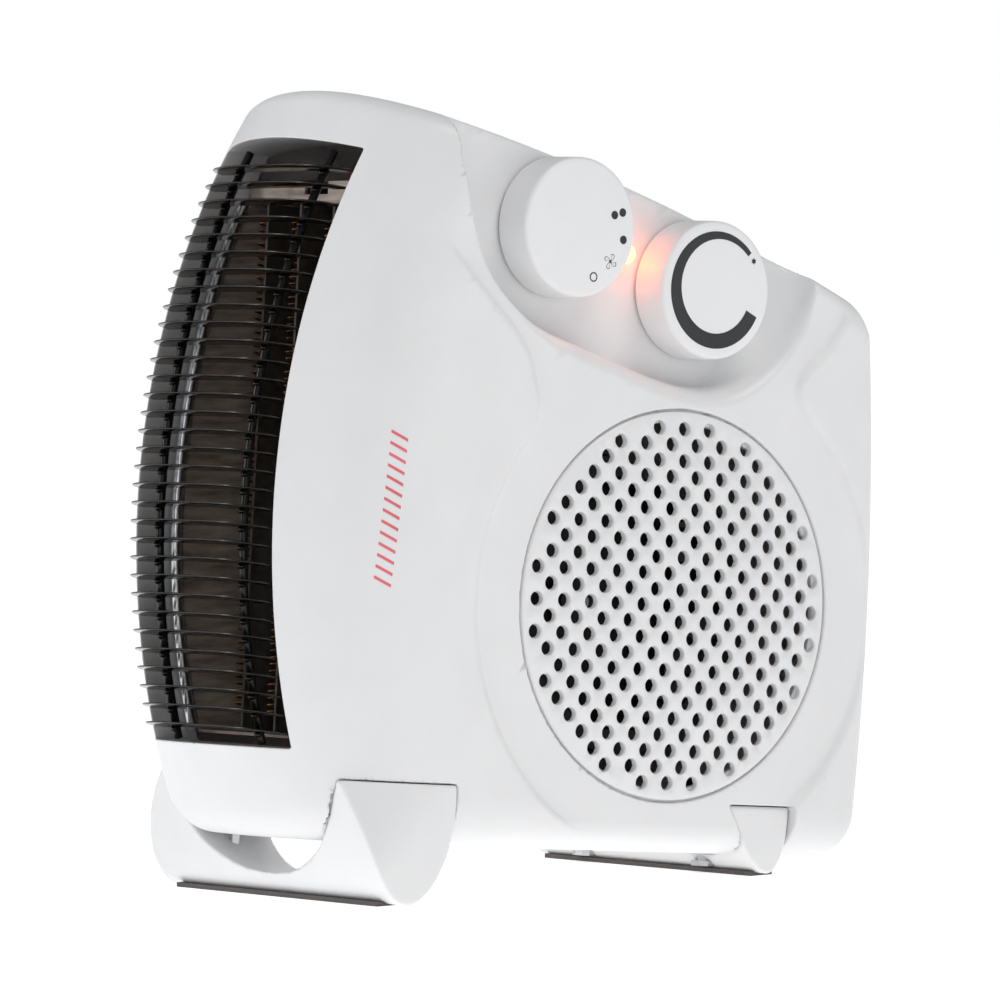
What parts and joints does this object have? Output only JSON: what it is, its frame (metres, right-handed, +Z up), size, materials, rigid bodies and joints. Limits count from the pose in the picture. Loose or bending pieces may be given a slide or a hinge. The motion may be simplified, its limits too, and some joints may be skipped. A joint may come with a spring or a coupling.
{
  "type": "fan convector heater",
  "caption": "Upright portable fan heater: finned outlet grille on a rounded nose, round perforated intake, two control knobs and cradle feet.",
  "frame": {"origin": "on the floor, under the middle of the heater's bounding box", "axes": "+Z up, +X out of the side with the knobs and the round intake, +Y towards the back; warm air leaves towards -Y"},
  "size_m": [0.1206, 0.2318, 0.2478],
  "materials": {
    "shell": "moulded white ABS, satin gloss",
    "knob": "moulded white ABS, smooth, with dark grey printed dial marks",
    "grille_paint": "gloss black stove enamel on steel strip",
    "grey_plastic": "grey heat-resistant moulding",
    "dark_plastic": "black moulding",
    "block_plastic": "white thermoset",
    "steel": "bright steel",
    "zinc": "zinc plated sheet",
    "copper": "enamelled copper winding",
    "bronze": "sintered bronze",
    "mica": "mica sheet",
    "nichrome": "oxidised resistance wire",
    "lamp": "orange neon lens",
    "red_wire": "red silicone insulation",
    "pad_rubber": "grey rubber strip"
  },
  "bodies": {
    "casing": {"near_shell": "shell", "far_shell": "shell", "intake_grille": "shell", "far_vent_grille": "shell", "outlet_grille": "grille_paint", "rotary_switch": "dark_plastic", "thermostat": "steel", "indicator_lamp": "lamp", "blower_scroll": "grey_plastic", "motor_stator": "steel", "motor_coil": "copper", "motor_bracket_front": "zinc", "motor_bracket_rear": "zinc", "bearing_front": "bronze", "bearing_rear": "bronze", "duct_liner": "zinc", "mica_board_1": "mica", "mica_board_2": "mica", "mica_board_3": "mica", "heating_coil_1": "nichrome", "heating_coil_2": "nichrome", "heating_coil_3": "nichrome", "heating_coil_4": "nichrome", "thermal_cutout": "dark_plastic", "terminal_block": "block_plastic", "power_wire": "red_wire", "cord_gland": "dark_plastic", "casing_screw_1": "steel", "casing_screw_2": "steel", "casing_screw_3": "steel", "casing_screw_4": "steel", "front_foot": "shell", "front_foot_pad": "pad_rubber", "front_foot_screw_1": "steel", "front_foot_screw_2": "steel", "rear_foot": "shell", "rear_foot_pad": "pad_rubber", "rear_foot_screw_1": "steel", "rear_foot_screw_2": "steel"},
    "selector": {"selector_knob": "knob", "selector_shaft": "grey_plastic"},
    "thermostat_dial": {"thermostat_knob": "knob", "thermostat_shaft": "steel"},
    "fan": {"fan_impeller": "dark_plastic", "impeller_plate": "dark_plastic", "motor_shaft": "steel"}
  },
  "joints": [
    {"name": "selector_turn", "type": "hinge", "parent": "casing", "child": "selector", "pos_m": [0.05, -0.00196, 0.20448], "axis": [1, 0, 0], "range_deg": [-30, 60]},
    {"name": "thermostat_turn", "type": "hinge", "parent": "casing", "child": "thermostat_dial", "pos_m": [0.05, 0.05153, 0.18424], "axis": [1, 0, 0], "range_deg": [-155, 130]},
    {"name": "fan_spin", "type": "hinge", "parent": "casing", "child": "fan", "pos_m": [0.01, 0.0333, 0.08642], "axis": [1, 0, 0], "continuous": true}
  ]
}
